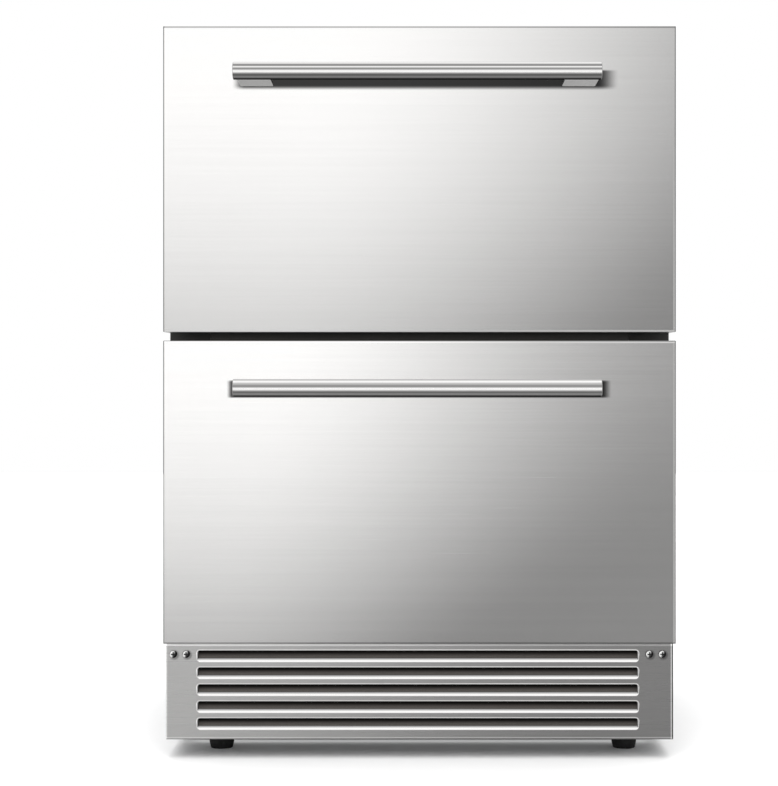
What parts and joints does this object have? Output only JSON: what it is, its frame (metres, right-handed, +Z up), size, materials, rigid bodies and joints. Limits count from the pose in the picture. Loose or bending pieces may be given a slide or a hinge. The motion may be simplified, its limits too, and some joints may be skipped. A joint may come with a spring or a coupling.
{
  "type": "undercounter drawer refrigerator",
  "caption": "Undercounter refrigerator with stacked full-width drawers on telescopic slides, round bar handles, a slotted toe grille and levelling feet.",
  "frame": {"origin": "on the floor, below the centre of the whole object's box, feet wound in and drawers shut", "axes": "+Z up, the drawers open towards -Y, +X to the right seen from the front"},
  "size_m": [0.595, 0.65, 0.858],
  "materials": {
    "steel_front": "satin",
    "steel_handle": "gloss",
    "steel_grille": "satin",
    "black_cabinet": "satin",
    "black_plastic": "matte",
    "black_rubber": "matte",
    "grey_gasket": "matte",
    "white_liner": "satin",
    "foam": "matte",
    "filter_foam": "matte",
    "zinc_steel": "satin",
    "aluminium_fins": "satin",
    "copper": "satin",
    "compressor_black": "gloss",
    "bin_steel": "satin",
    "lamp_lens": "satin",
    "screw_steel": "gloss",
    "display_black": "gloss"
  },
  "bodies": {
    "cabinet": {"outer_wrapper": "black_cabinet", "back_panel": "black_cabinet", "front_frame": "black_cabinet", "centre_mullion": "black_plastic", "insulation_foam": "foam", "inner_liner": "white_liner", "evaporator_cover": "white_liner", "evaporator_coil": "aluminium_fins", "evaporator_fan_frame": "black_plastic", "led_lamp_cover": "lamp_lens", "control_panel": "display_black", "base_pan": "zinc_steel", "compartment_plate": "zinc_steel", "toe_grille": "steel_grille", "toe_grille_screws": "screw_steel", "air_filter_frame": "black_plastic", "air_filter_pad": "filter_foam", "condenser_coil": "compressor_black", "condenser_fan_shroud": "black_plastic", "compressor": "compressor_black", "compressor_mounts": "black_rubber", "refrigerant_lines": "copper", "drain_pan": "black_plastic", "rear_cover": "black_cabinet", "rear_screws": "screw_steel", "power_inlet": "black_plastic", "upper_slide_outer": "zinc_steel", "lower_slide_outer": "zinc_steel"},
    "evaporator_fan": {"evaporator_fan_blade": "black_plastic"},
    "condenser_fan": {"condenser_fan_blade": "black_plastic"},
    "upper_slide_members": {"upper_slide_middle": "zinc_steel", "upper_slide_balls": "screw_steel"},
    "upper_drawer": {"upper_slide_inner": "zinc_steel", "upper_front_skin": "steel_front", "upper_front_foam": "foam", "upper_front_liner": "white_liner", "upper_gasket": "grey_gasket", "upper_handle_bar": "steel_handle", "upper_handle_posts": "steel_handle", "upper_handle_screws": "screw_steel", "upper_bin_tray": "bin_steel", "upper_bin_sides": "bin_steel", "upper_corner_brackets": "zinc_steel"},
    "lower_slide_members": {"lower_slide_middle": "zinc_steel", "lower_slide_balls": "screw_steel"},
    "lower_drawer": {"lower_slide_inner": "zinc_steel", "lower_front_skin": "steel_front", "lower_front_foam": "foam", "lower_front_liner": "white_liner", "lower_gasket": "grey_gasket", "lower_handle_bar": "steel_handle", "lower_handle_posts": "steel_handle", "lower_handle_screws": "screw_steel", "lower_bin_tray": "bin_steel", "lower_bin_sides": "bin_steel", "lower_corner_brackets": "zinc_steel"},
    "levelling_foot_front_left": {"foot_front_left": "black_rubber"},
    "levelling_foot_front_right": {"foot_front_right": "black_rubber"},
    "levelling_foot_rear_left": {"foot_rear_left": "black_rubber"},
    "levelling_foot_rear_right": {"foot_rear_right": "black_rubber"}
  },
  "joints": [
    {"name": "upper_drawer_slide", "type": "slide", "parent": "cabinet", "child": "upper_drawer", "axis": [0, -1, 0], "range_m": [0, 0.4]},
    {"name": "upper_middle_slide", "type": "slide", "parent": "cabinet", "child": "upper_slide_members", "axis": [0, -1, 0], "range_m": [0, 0.2]},
    {"name": "lower_drawer_slide", "type": "slide", "parent": "cabinet", "child": "lower_drawer", "axis": [0, -1, 0], "range_m": [0, 0.4]},
    {"name": "lower_middle_slide", "type": "slide", "parent": "cabinet", "child": "lower_slide_members", "axis": [0, -1, 0], "range_m": [0, 0.2]},
    {"name": "evaporator_fan_spin", "type": "hinge", "parent": "cabinet", "child": "evaporator_fan", "pos_m": [0, 0.24, 0.705], "axis": [0, 1, 0], "continuous": true},
    {"name": "condenser_fan_spin", "type": "hinge", "parent": "cabinet", "child": "condenser_fan", "pos_m": [-0.07, -0.18, 0.081], "axis": [0, 1, 0], "continuous": true},
    {"name": "front_left_foot_height", "type": "slide", "parent": "cabinet", "child": "levelling_foot_front_left", "axis": [0, 0, -1], "range_m": [0, 0.025]},
    {"name": "front_right_foot_height", "type": "slide", "parent": "cabinet", "child": "levelling_foot_front_right", "axis": [0, 0, -1], "range_m": [0, 0.025]},
    {"name": "rear_left_foot_height", "type": "slide", "parent": "cabinet", "child": "levelling_foot_rear_left", "axis": [0, 0, -1], "range_m": [0, 0.025]},
    {"name": "rear_right_foot_height", "type": "slide", "parent": "cabinet", "child": "levelling_foot_rear_right", "axis": [0, 0, -1], "range_m": [0, 0.025]}
  ],
  "couplings": [
    {"joint": "upper_middle_slide", "follows": "upper_drawer_slide", "ratio": 0.5},
    {"joint": "lower_middle_slide", "follows": "lower_drawer_slide", "ratio": 0.5}
  ]
}
